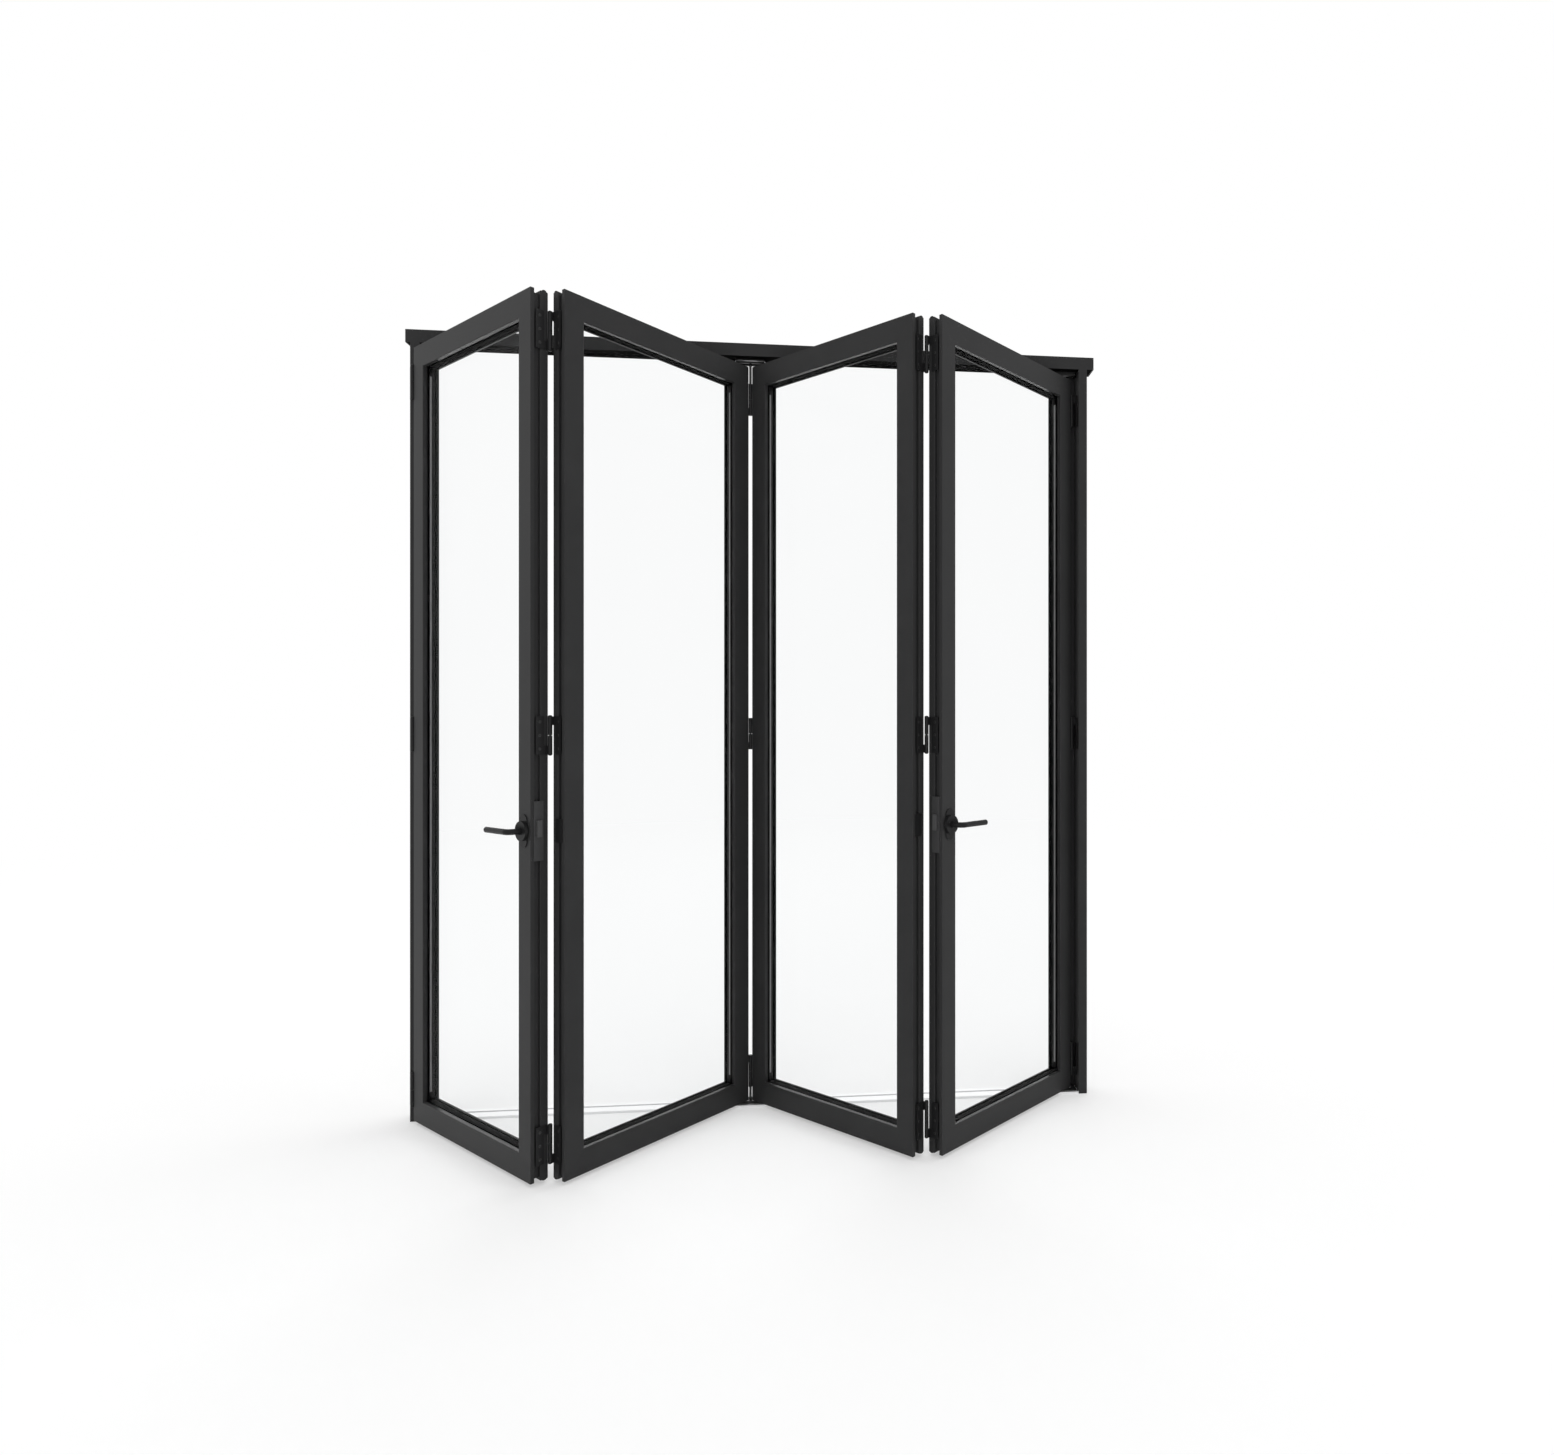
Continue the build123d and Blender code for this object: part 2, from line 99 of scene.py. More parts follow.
def tone_between(tree, share, dark, pale):
    """The colour that lies that share of the way from dark to pale."""
    tone = tree.nodes.new("ShaderNodeMix")
    tone.data_type = "RGBA"
    feed(tree, share, tone.inputs["Factor"])
    feed(tree, dark, tone.inputs["A"])
    feed(tree, pale, tone.inputs["B"])
    return tone.outputs["Result"]


def value_between(tree, share, start, end):
    """The value that lies that share of the way from start to end."""
    spread = tree.nodes.new("ShaderNodeMapRange")
    feed(tree, share, spread.inputs["Value"])
    feed(tree, start, spread.inputs["To Min"])
    feed(tree, end, spread.inputs["To Max"])
    return spread.outputs["Result"]


def extruded_coat_group():
    """Cloudy tone, roughness and relief of a baked coat over die lines that run along X."""
    group, given, result = shader_group(
        "extruded coat",
        {
            "Vector": "Vector",
            "Dark": "Color",
            "Pale": "Color",
            "Smooth": "Float",
            "Dull": "Float",
            "Peel Scale": "Float",
            "Line Scale": "Vector",
        },
        {"Color": "Color", "Roughness": "Float", "Height": "Float"},
    )
    where = given.outputs["Vector"]
    cloud = noise(group, where, coat_clouds_per_metre, coat_cloud_octaves)
    peel = noise(group, where, given.outputs["Peel Scale"], peel_octaves)
    lines = stretched_noise(group, where, given.outputs["Line Scale"], die_line_octaves)
    relief = group.nodes.new("ShaderNodeMath")
    relief.operation = "ADD"
    feed(group, peel, relief.inputs[0])
    feed(group, lines, relief.inputs[1])
    tone = tone_between(group, cloud, given.outputs["Dark"], given.outputs["Pale"])
    sheen = value_between(group, cloud, given.outputs["Smooth"], given.outputs["Dull"])
    feed(group, tone, result.inputs["Color"])
    feed(group, sheen, result.inputs["Roughness"])
    feed(group, relief.outputs["Value"], result.inputs["Height"])
    return group


extruded_coat = extruded_coat_group()


def material_with_shader(name):
    """A new material, its node tree, its Principled shader and its object coordinates."""
    material = bpy.data.materials.new(name)
    material.use_nodes = True
    tree = material.node_tree
    where = tree.nodes.new("ShaderNodeTexCoord")
    return material, tree, tree.nodes["Principled BSDF"], where.outputs["Object"]


def lay_finish(tree, shader, where, group, values):
    """Feeds a shader's colour, and its roughness if the group has one. Returns the height."""
    finish = tree.nodes.new("ShaderNodeGroup")
    finish.node_tree = group
    for socket, value in values.items():
        finish.inputs[socket].default_value = value
    feed(tree, where, finish.inputs["Vector"])
    feed(tree, finish.outputs["Color"], shader.inputs["Base Color"])
    if "Roughness" in finish.outputs:
        feed(tree, finish.outputs["Roughness"], shader.inputs["Roughness"])
    return finish.outputs["Height"]


def relief_on(tree, shader, height, strength, depth):
    """Gives the shader a bump of that height."""
    bump = tree.nodes.new("ShaderNodeBump")
    bump.inputs["Strength"].default_value = strength
    bump.inputs["Distance"].default_value = depth
    feed(tree, height, bump.inputs["Height"])
    feed(tree, bump.outputs["Normal"], shader.inputs["Normal"])


def coat_values(dark, pale, roughness, line_scale):
    """Inputs of the coat for two tones, its least and most roughness and its lines."""
    smooth, dull = roughness
    return {
        "Dark": (*dark, 1),
        "Pale": (*pale, 1),
        "Smooth": smooth,
        "Dull": dull,
        "Peel Scale": 1 / peel_size,
        "Line Scale": line_scale,
    }


def coated_extrusion(name, turn=(0, 0, 0)):
    """Powder-coated profile. turn brings the profile's own length onto X."""
    material, tree, shader, where = material_with_shader(name)
    shader.inputs["Specular IOR Level"].default_value = coat_sheen
    lie = tree.nodes.new("ShaderNodeMapping")
    lie.inputs["Rotation"].default_value = turn
    feed(tree, where, lie.inputs["Vector"])
    die_lines = (1 / die_line_run, 1 / die_line_pitch, 1 / die_line_pitch)
    values = coat_values(coat_black, coat_grey, coat_roughness, die_lines)
    height = lay_finish(tree, shader, lie.outputs["Vector"], extruded_coat, values)
    relief_on(tree, shader, height, coat_bump, coat_relief)
    return material


def dress(node, material):
    """Puts a finish on a CAD node."""
    slots = nodes[node].data.materials
    slots.clear()
    slots.append(material)


def facing_up(tree, normal="True Normal"):
    """How far the surface faces up: 1 on top, 0 on an upright side and -1 underneath."""
    shape = tree.nodes.new("ShaderNodeNewGeometry")
    parts = tree.nodes.new("ShaderNodeSeparateXYZ")
    feed(tree, shape.outputs[normal], parts.inputs["Vector"])
    return parts.outputs["Z"]


def darken_underside(material):
    """Paints shade onto the coat where the surface faces down: near-black and fully rough."""
    tree = material.node_tree
    shader = tree.nodes["Principled BSDF"]
    coat_colour = shader.inputs["Base Color"].links[0].from_socket
    coat_dullness = shader.inputs["Roughness"].links[0].from_socket
    below = tree.nodes.new("ShaderNodeMath")
    below.operation = "LESS_THAN"
    below.inputs[1].default_value = shade_from_tilt
    feed(tree, facing_up(tree), below.inputs[0])
    # Painted shade: 1 where the surface faces down.
    painted_shade = below.outputs["Value"]
    tone = tone_between(tree, painted_shade, coat_colour, (*underside_shade_black, 1))
    dullness = value_between(tree, painted_shade, coat_dullness, underside_shade_roughness)
    feed(tree, tone, shader.inputs["Base Color"])
    feed(tree, dullness, shader.inputs["Roughness"])


upright_coat = coated_extrusion("black coat on uprights", up_the_height)
level_coat = coated_extrusion("black coat along the head")
# Painted shade on the head's downward faces.
darken_underside(level_coat)
dress("left_jamb", upright_coat)
dress("right_jamb", upright_coat)
dress("head_track", level_coat)

# Head end caps: moulded black nylon plates, pressed into the ends of the head track. Their skin
# has a finer and duller grain than the coat beside it.
nylon_black = (0.010, 0.010, 0.010)
nylon_grey = (0.014, 0.014, 0.014)
nylon_grain = 0.0005
nylon_roughness = 0.5
nylon_sheen = 0.35
nylon_relief = 0.0001
skin_octaves = 2.0
skin_bump = 0.2


def moulded_skin_group():
    """Fine grain of a moulded skin: tone and relief."""
    group, given, result = shader_group(
        "moulded skin",
        {"Vector": "Vector", "Dark": "Color", "Pale": "Color", "Grain Scale": "Float"},
        {"Color": "Color", "Height": "Float"},
    )
    grain = noise(group, given.outputs["Vector"], given.outputs["Grain Scale"], skin_octaves)
    tone = tone_between(group, grain, given.outputs["Dark"], given.outputs["Pale"])
    feed(group, tone, result.inputs["Color"])
    feed(group, grain, result.inputs["Height"])
    return group


moulded_skin = moulded_skin_group()


def skin_values(dark, pale, grain):
    """Inputs of the moulded skin for two tones and the size of a grain."""
    return {"Dark": (*dark, 1), "Pale": (*pale, 1), "Grain Scale": 1 / grain}


def moulded(name, dark, pale, grain, roughness, sheen, relief):
    """A moulded skin over a matte body, for nylon and rubber."""
    material, tree, shader, where = material_with_shader(name)
    shader.inputs["Roughness"].default_value = roughness
    shader.inputs["Specular IOR Level"].default_value = sheen
    height = lay_finish(tree, shader, where, moulded_skin, skin_values(dark, pale, grain))
    relief_on(tree, shader, height, skin_bump, relief)
    return material


cap_nylon = moulded(
    "moulded nylon", nylon_black, nylon_grey, nylon_grain, nylon_roughness, nylon_sheen, nylon_relief
)
dress("head_end_caps", cap_nylon)

# Floor track: a low aluminium sill with a groove for the guide, satin anodised and brushed
# lengthwise. It mirrors the white room, so it is pale where nothing black stands over it.
anodised_dark = (0.86, 0.86, 0.865)
anodised_pale = (0.92, 0.92, 0.925)
anodised_roughness = (0.4, 0.5)
brush_pitch = 0.0006
brush_run = 0.05
brush_octaves = 3.0
brush_bump = 0.05
brush_relief = 0.0002


def brushed_metal_group():
    """Brush lines: tone, roughness and relief."""
    group, given, result = shader_group(
        "brushed metal",
        {
            "Vector": "Vector",
            "Dark": "Color",
            "Pale": "Color",
            "Smooth": "Float",
            "Dull": "Float",
            "Line Scale": "Vector",
        },
        {"Color": "Color", "Roughness": "Float", "Height": "Float"},
    )
    lines = stretched_noise(group, given.outputs["Vector"], given.outputs["Line Scale"], brush_octaves)
    tone = tone_between(group, lines, given.outputs["Dark"], given.outputs["Pale"])
    sheen = value_between(group, lines, given.outputs["Smooth"], given.outputs["Dull"])
    feed(group, tone, result.inputs["Color"])
    feed(group, sheen, result.inputs["Roughness"])
    feed(group, lines, result.inputs["Height"])
    return group


brushed_metal = brushed_metal_group()


def bare_metal(name, dark, pale, roughness, line_scale):
    """Uncoated metal with brush or turning lines."""
    material, tree, shader, where = material_with_shader(name)
    shader.inputs["Metallic"].default_value = 1.0
    values = {
        "Dark": (*dark, 1),
        "Pale": (*pale, 1),
        "Smooth": roughness[0],
        "Dull": roughness[1],
        "Line Scale": line_scale,
    }
    height = lay_finish(tree, shader, where, brushed_metal, values)
    relief_on(tree, shader, height, brush_bump, brush_relief)
    return material


along_track = (1 / brush_run, 1 / brush_pitch, 1 / brush_pitch)
track_metal = bare_metal(
    "anodised aluminium", anodised_dark, anodised_pale, anodised_roughness, along_track
)
dress("floor_track", track_metal)

# Leaf frames: two stiles and two rails each, mitred and crimped at the corners, in the same
# black coat as the frame. The die lines run up the stiles and along the rails, and the rails
# have a glossier skin on their level sides.
leaf_count = 4
reveal_gloss = 0.6
reveal_roughness = 0.25
reveal_from_tilt = 0.6


def front_corners(number):
    """Lower front corners of a leaf, left and right, read from its stiles."""
    points = [vertex.co.copy() for vertex in nodes[f"leaf_{number}_stiles"].data.vertices]
    floor_level = min(point.z for point in points)
    nearest = min(points, key=lambda point: point.y)
    if number % 2:
        left, right = min(points, key=lambda point: point.x), nearest
    else:
        left, right = nearest, max(points, key=lambda point: point.x)
    return Vector((left.x, left.y, floor_level)), Vector((right.x, right.y, floor_level))


leaf_left, leaf_along, leaf_width = {}, {}, {}
for number in range(1, leaf_count + 1):
    left, right = front_corners(number)
    leaf_left[number] = left
    leaf_along[number] = (right - left).normalized()
    leaf_width[number] = (right - left).length


def on_leaf(number, along, back, up):
    """A point of a leaf: distance along it, back from its front face and up from its bottom."""
    run = leaf_along[number]
    behind = Vector((-run.y, run.x, 0))
    return leaf_left[number] + run * along + behind * back + Vector((0, 0, up))


def levelness(tree, normal="True Normal"):
    """1 where the surface faces straight up or down, and 0 where it is upright."""
    level = tree.nodes.new("ShaderNodeMath")
    level.operation = "ABSOLUTE"
    feed(tree, facing_up(tree, normal), level.inputs[0])
    return level.outputs["Value"]


def gloss_on_level_sides(material):
    """Adds a glossy skin where the surface faces up or down."""
    tree = material.node_tree
    shader = tree.nodes["Principled BSDF"]
    shader.inputs["Coat Roughness"].default_value = reveal_roughness
    gloss = tree.nodes.new("ShaderNodeMapRange")
    gloss.inputs["From Min"].default_value = reveal_from_tilt
    gloss.inputs["To Max"].default_value = reveal_gloss
    feed(tree, levelness(tree, "Normal"), gloss.inputs["Value"])
    feed(tree, gloss.outputs["Result"], shader.inputs["Coat Weight"])


for number in range(1, leaf_count + 1):
    heading = math.atan2(leaf_along[number].y, leaf_along[number].x)
    rail_coat = coated_extrusion(f"black coat on rails {number}", (0, 0, -heading))
    gloss_on_level_sides(rail_coat)
    dress(f"leaf_{number}_stiles", upright_coat)
    dress(f"leaf_{number}_rails", rail_coat)

# Glazing: sealed units of two clear panes round a black spacer bar, held by black rubber
# gaskets. The glass is low-iron with an anti-reflection coat, so it shows little of itself.
pane_tint = (0.972, 0.976, 0.976)
pane_tint_far = (0.978, 0.981, 0.982)
pane_ior = 1.045
pane_clouds_per_metre = 3.0
pane_cloud_octaves = 2.0
spacer_black = (0.006, 0.006, 0.006)
spacer_grey = (0.009, 0.009, 0.009)
spacer_grain = 1 / 1500
spacer_sheen = 0.3
spacer_upright_roughness = 0.35
spacer_level_roughness = 1.0
rubber_black = (0.004, 0.004, 0.004)
rubber_grey = (0.007, 0.007, 0.007)
rubber_grain = 0.0008
rubber_roughness = 0.7
rubber_sheen = 0.2
rubber_relief = 0.0002


def clear_pane():
    """Clear glass that lets the lamps through, with a faint cloudiness of tint."""
    material, tree, shader, where = material_with_shader("clear glass")
    shader.inputs["Transmission Weight"].default_value = 1.0
    shader.inputs["Roughness"].default_value = 0.0
    shader.inputs["IOR"].default_value = pane_ior
    cloud = noise(tree, where, pane_clouds_per_metre, pane_cloud_octaves)
    tint = tone_between(tree, cloud, (*pane_tint, 1), (*pane_tint_far, 1))
    feed(tree, tint, shader.inputs["Base Color"])
    ray = tree.nodes.new("ShaderNodeLightPath")
    open_way = tree.nodes.new("ShaderNodeBsdfTransparent")
    either = tree.nodes.new("ShaderNodeMixShader")
    feed(tree, ray.outputs["Is Shadow Ray"], either.inputs["Fac"])
    feed(tree, shader.outputs["BSDF"], either.inputs[1])
    feed(tree, open_way.outputs["BSDF"], either.inputs[2])
    feed(tree, either.outputs["Shader"], tree.nodes["Material Output"].inputs["Surface"])
    return material


def spacer_bar():
    """Black spacer: a dull film on its level runs, and a smoother one on its uprights."""
    material, tree, shader, where = material_with_shader("spacer bar")
    shader.inputs["Specular IOR Level"].default_value = spacer_sheen
    values = skin_values(spacer_black, spacer_grey, spacer_grain)
    lay_finish(tree, shader, where, moulded_skin, values)
    film = value_between(tree, levelness(tree), spacer_upright_roughness, spacer_level_roughness)
    feed(tree, film, shader.inputs["Roughness"])
    return material


glass = clear_pane()
spacer_finish = spacer_bar()
rubber = moulded(
    "gasket rubber", rubber_black, rubber_grey, rubber_grain, rubber_roughness, rubber_sheen, rubber_relief
)
for number in range(1, leaf_count + 1):
    dress(f"leaf_{number}_glass", glass)
    dress(f"leaf_{number}_spacer", spacer_finish)
    dress(f"leaf_{number}_gaskets", rubber)

# Painted highlight: a thin strip of pale metal against each stile, standing for the thin pale
# line that light puts on the spacer bar in the reveal of each stile. Its long edges are bevelled.
highlight_strip_front = 0.021
highlight_strip_back = 0.0265
highlight_strip_lift = 0.0004
highlight_strip_fold = 0.0012
highlight_strip_edge = 0.0565
highlight_strip_bottom = 0.090
highlight_strip_top = 2.150
highlight_strip_dark = (0.20, 0.20, 0.20)
highlight_strip_pale = (0.30, 0.30, 0.30)
highlight_strip_roughness = (0.4, 0.5)
highlight_strip_lines = (900, 900, 20)


def piece_of(name, mesh):
    """A piece of that mesh, in the scene and at the origin."""
    piece = bpy.data.objects.new(name, mesh)
    bpy.context.collection.objects.link(piece)
    return piece


def highlight_strips_on_stiles():
    """Two painted highlight strips on each leaf, one against each stile, as a joined mesh."""
    section = (
        (-highlight_strip_lift, highlight_strip_front),
        (highlight_strip_lift, highlight_strip_front + highlight_strip_fold),
        (highlight_strip_lift, highlight_strip_back - highlight_strip_fold),
        (-highlight_strip_lift, highlight_strip_back),
    )
    sides = ((0, 1, 5, 4), (1, 2, 6, 5), (2, 3, 7, 6), (3, 0, 4, 7))
    ends = ((3, 2, 1, 0), (4, 5, 6, 7))
    points, faces = [], []
    for number in range(1, leaf_count + 1):
        for start, out in ((highlight_strip_edge, 1), (leaf_width[number] - highlight_strip_edge, -1)):
            first = len(points)
            for up in (highlight_strip_bottom, highlight_strip_top):
                points += [on_leaf(number, start + out * lift, back, up) for lift, back in section]
            for face in sides + ends:
                outward = face if out > 0 else face[::-1]
                faces.append([first + corner for corner in outward])
    mesh = bpy.data.meshes.new("painted_highlight_strips")
    mesh.from_pydata(points, [], faces)
    return piece_of("painted_highlight_strips", mesh)


highlight_strips = highlight_strips_on_stiles()
# Pale metal on the strips, as a painted highlight.
highlight_strips.data.materials.append(
    bare_metal("painted highlight metal", highlight_strip_dark, highlight_strip_pale, highlight_strip_roughness, highlight_strip_lines)
)
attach(highlight_strips, "door")

# Hinges: steel plates screwed to the leaf ends and jambs, with round barrels on a pin. Their
# black is smoother and darker than the profiles'.
hinge_black = (0.010, 0.010, 0.0105)
hinge_grey = (0.015, 0.015, 0.0155)
hinge_roughness = (0.3, 0.4)
hinge_sheen = 0.2
steel_streaks = (40, 40, 40)
steel_bump = 0.05
steel_relief = 0.0003


def coated_steel(name, dark, pale, roughness, sheen):
    """Black coat on formed or cast parts, where no die line shows."""
    material, tree, shader, where = material_with_shader(name)
    shader.inputs["Specular IOR Level"].default_value = sheen
    values = coat_values(dark, pale, roughness, steel_streaks)
    height = lay_finish(tree, shader, where, extruded_coat, values)
    relief_on(tree, shader, height, steel_bump, steel_relief)
    return material


hinge_coat = coated_steel("hinge coat", hinge_black, hinge_grey, hinge_roughness, hinge_sheen)
for name in nodes:
    if name.startswith("hinge_"):
        dress(name, hinge_coat)

# Hinge screws: three flush screws in a row on each leaf plate, with a round driver recess.
# They are zinc-black, a little paler than the plates. Each row below gives a leaf, whether the
# hinge is at its right end and at its back, and the node of the wings.
hinge_joints = (
    (1, False, False, "hinge_0_leaf_wings"),
    (1, True, True, "hinge_1_left_wings"),
    (2, False, True, "hinge_1_right_wings"),
    (2, True, False, "hinge_2_left_wings"),
    (3, False, False, "hinge_2_right_wings"),
    (3, True, True, "hinge_3_left_wings"),
    (4, False, True, "hinge_3_right_wings"),
    (4, True, False, "hinge_4_leaf_wings"),
)
leaf_depth = 0.048
hinge_length = 0.096
middle_hinge = 1.072
plate_thickness = 0.002
plate_middle = 0.024
screw_places = (0.014, 0.048, 0.082)
screw_radius = 0.0042
screw_height = 0.0012
screw_sides = 20
rim_share = 0.86
recess_radius = 0.0018
recess_depth = 0.0008
zinc_dark = (0.05, 0.05, 0.05)
zinc_pale = (0.09, 0.09, 0.09)
zinc_roughness = (0.3, 0.45)
zinc_grain = (300, 300, 300)


def hinge_bottoms(name):
    """Where the three hinges of a joint start, above the bottom of the leaf."""
    low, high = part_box(name)
    base = leaf_left[1].z
    return low[2] - base, middle_hinge, high[2] - hinge_length - base


def points_facing(name, places):
    """A mesh of loose points, each with the direction that its piece faces."""
    mesh = bpy.data.meshes.new(name)
    mesh.from_pydata([place for place, _ in places], [], [])
    facing = mesh.attributes.new("facing", "FLOAT_VECTOR", "POINT")
    for row, (_, direction) in zip(facing.data, places):
        row.vector = direction
    return piece_of(name, mesh)


def geometry_group(name, inputs):
    """An empty geometry node tree with named inputs, and its input and output nodes."""
    tree = bpy.data.node_groups.new(name, "GeometryNodeTree")
    for socket, kind in {"Geometry": "Geometry", **inputs}.items():
        tree.interface.new_socket(name=socket, in_out="INPUT", socket_type=f"NodeSocket{kind}")
    tree.interface.new_socket(name="Geometry", in_out="OUTPUT", socket_type="NodeSocketGeometry")
    return tree, tree.nodes.new("NodeGroupInput"), tree.nodes.new("NodeGroupOutput")


def stand_on_points(tree, given, result, shape):
    """Sets the shape on every point, turned to face its way, as real mesh in one finish."""
    facing = tree.nodes.new("GeometryNodeInputNamedAttribute")
    facing.data_type = "FLOAT_VECTOR"
    facing.inputs["Name"].default_value = "facing"
    turned = tree.nodes.new("FunctionNodeAlignRotationToVector")
    turned.axis = "Z"
    placed = tree.nodes.new("GeometryNodeInstanceOnPoints")
    real = tree.nodes.new("GeometryNodeRealizeInstances")
    finish = tree.nodes.new("GeometryNodeSetMaterial")
    feed(tree, facing.outputs["Attribute"], turned.inputs["Vector"])
    feed(tree, given.outputs["Geometry"], placed.inputs["Points"])
    feed(tree, shape, placed.inputs["Instance"])
    feed(tree, turned.outputs["Rotation"], placed.inputs["Rotation"])
    feed(tree, placed.outputs["Instances"], real.inputs["Geometry"])
    feed(tree, real.outputs["Geometry"], finish.inputs["Geometry"])
    feed(tree, given.outputs["Finish"], finish.inputs["Material"])
    feed(tree, finish.outputs["Geometry"], result.inputs["Geometry"])


def screw_tree():
    """A flush screw: a disc with a sloped rim and a round recess."""
    tree, given, result = geometry_group(
        "flush screw",
        {
            "Head Radius": "Float",
            "Head Height": "Float",
            "Rim Share": "Float",
            "Recess Share": "Float",
            "Recess Depth": "Float",
            "Finish": "Material",
        },
    )
    disc = tree.nodes.new("GeometryNodeMeshCylinder")
    disc.inputs["Vertices"].default_value = screw_sides
    rim = tree.nodes.new("GeometryNodeScaleElements")
    inner = tree.nodes.new("GeometryNodeExtrudeMesh")
    inner.inputs["Offset Scale"].default_value = 0.0
    inner.inputs["Individual"].default_value = False
    narrow = tree.nodes.new("GeometryNodeScaleElements")
    sink = tree.nodes.new("GeometryNodeExtrudeMesh")
    sink.inputs["Individual"].default_value = False
    down = tree.nodes.new("ShaderNodeMath")
    down.operation = "MULTIPLY"
    down.inputs[1].default_value = -1.0
    feed(tree, given.outputs["Head Radius"], disc.inputs["Radius"])
    feed(tree, given.outputs["Head Height"], disc.inputs["Depth"])
    feed(tree, disc.outputs["Mesh"], rim.inputs["Geometry"])
    feed(tree, disc.outputs["Top"], rim.inputs["Selection"])
    feed(tree, given.outputs["Rim Share"], rim.inputs["Scale"])
    feed(tree, rim.outputs["Geometry"], inner.inputs["Mesh"])
    feed(tree, disc.outputs["Top"], inner.inputs["Selection"])
    feed(tree, inner.outputs["Mesh"], narrow.inputs["Geometry"])
    feed(tree, inner.outputs["Top"], narrow.inputs["Selection"])
    feed(tree, given.outputs["Recess Share"], narrow.inputs["Scale"])
    feed(tree, narrow.outputs["Geometry"], sink.inputs["Mesh"])
    feed(tree, inner.outputs["Top"], sink.inputs["Selection"])
    feed(tree, given.outputs["Recess Depth"], down.inputs[0])
    feed(tree, down.outputs["Value"], sink.inputs["Offset Scale"])
    stand_on_points(tree, given, result, sink.outputs["Mesh"])
    return tree


def grown(piece, tree, values):
    """Runs a geometry node tree on a piece and keeps the result as a plain mesh."""
    modifier = piece.modifiers.new("grow", "NODES")
    modifier.node_group = tree
    for item in tree.interface.items_tree:
        if item.in_out == "INPUT" and item.name in values:
            modifier[item.identifier] = values[item.name]
    evaluated = piece.evaluated_get(bpy.context.evaluated_depsgraph_get())
    mesh = bpy.data.meshes.new_from_object(evaluated)
    piece.modifiers.remove(modifier)
    piece.data = mesh
    return piece


screw_spots = []
for number, right_end, at_back, name in hinge_joints:
    outward = leaf_along[number] if right_end else -leaf_along[number]
    end = leaf_width[number] + plate_thickness if right_end else -plate_thickness
    depth = leaf_depth - plate_middle if at_back else plate_middle
    for bottom in hinge_bottoms(name):
        for place in screw_places:
            screw_spots.append((on_leaf(number, end, depth, bottom + place), outward))

screws = grown(
    points_facing("hinge_screws", screw_spots),
    screw_tree(),
    {
        "Head Radius": screw_radius,
        "Head Height": screw_height,
        "Rim Share": rim_share,
        "Recess Share": recess_radius / screw_radius,
        "Recess Depth": recess_depth,
        "Finish": bare_metal("black zinc", zinc_dark, zinc_pale, zinc_roughness, zinc_grain),
    },
)
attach(screws, "door")

# Barrel caps: a low rounded cap on both ends of each hinge barrel, part of the pin's head.
# Each is placed from one leaf only, though two leaves share its barrel. The middle joint has
# none, because the hanger and the floor guide start from its barrels.
capped_wings = ("hinge_0_leaf_wings", "hinge_1_left_wings", "hinge_3_left_wings", "hinge_4_leaf_wings")
barrel_radius = 0.0055
hinge_offset = 0.008
cap_share = 0.97
cap_rise = 0.0035
cap_segments = 20
cap_rings = 10


def cap_tree():
    """A flattened ball, whose lower half is inside the barrel."""
    tree, given, result = geometry_group(
        "barrel cap", {"Radius": "Float", "Flatten": "Vector", "Finish": "Material"}
    )
    ball = tree.nodes.new("GeometryNodeMeshUVSphere")
    ball.inputs["Segments"].default_value = cap_segments
    ball.inputs["Rings"].default_value = cap_rings
    squashed = tree.nodes.new("GeometryNodeTransform")
    feed(tree, given.outputs["Radius"], ball.inputs["Radius"])
    feed(tree, ball.outputs["Mesh"], squashed.inputs["Geometry"])
    feed(tree, given.outputs["Flatten"], squashed.inputs["Scale"])
    stand_on_points(tree, given, result, squashed.outputs["Geometry"])
    return tree


cap_spots = []
for number, right_end, at_back, name in hinge_joints:
    if name not in capped_wings:
        continue
    end = leaf_width[number] + hinge_offset if right_end else -hinge_offset
    depth = leaf_depth if at_back else 0.0
    for bottom in hinge_bottoms(name):
        for up, way in ((bottom, -1), (bottom + hinge_length, 1)):
            cap_spots.append((on_leaf(number, end, depth, up), Vector((0, 0, way))))

caps = grown(
    points_facing("barrel_caps", cap_spots),
    cap_tree(),
    {
        "Radius": barrel_radius * cap_share,
        "Flatten": (1, 1, cap_rise / barrel_radius),
        "Finish": hinge_coat,
    },
)
for polygon in caps.data.polygons:
    polygon.use_smooth = True
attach(caps, "door")

# Roller carrier and floor guide: turned and milled steel under a black oxide. They hang the
# middle joint from the head channel and steady it in the groove of the floor track.
oxide_dark = (0.008, 0.008, 0.0085)
oxide_pale = (0.014, 0.014, 0.0145)
oxide_roughness = (0.18, 0.28)
oxide_sheen = 0.5
oxide = coated_steel("black oxide", oxide_dark, oxide_pale, oxide_roughness, oxide_sheen)
dress("top_carrier", oxide)
dress("floor_guide", oxide)

# Carrier wheels: zinc-plated steel, turned, so that fine rings run round each wheel. They run
# on the lips of the head channel.
plated_dark = (0.42, 0.42, 0.43)
plated_pale = (0.60, 0.60, 0.61)
plated_roughness = (0.25, 0.4)
turning_lines = (60, 60, 1800)
plated = bare_metal("plated steel", plated_dark, plated_pale, plated_roughness, turning_lines)
dress("carrier_wheels", plated)
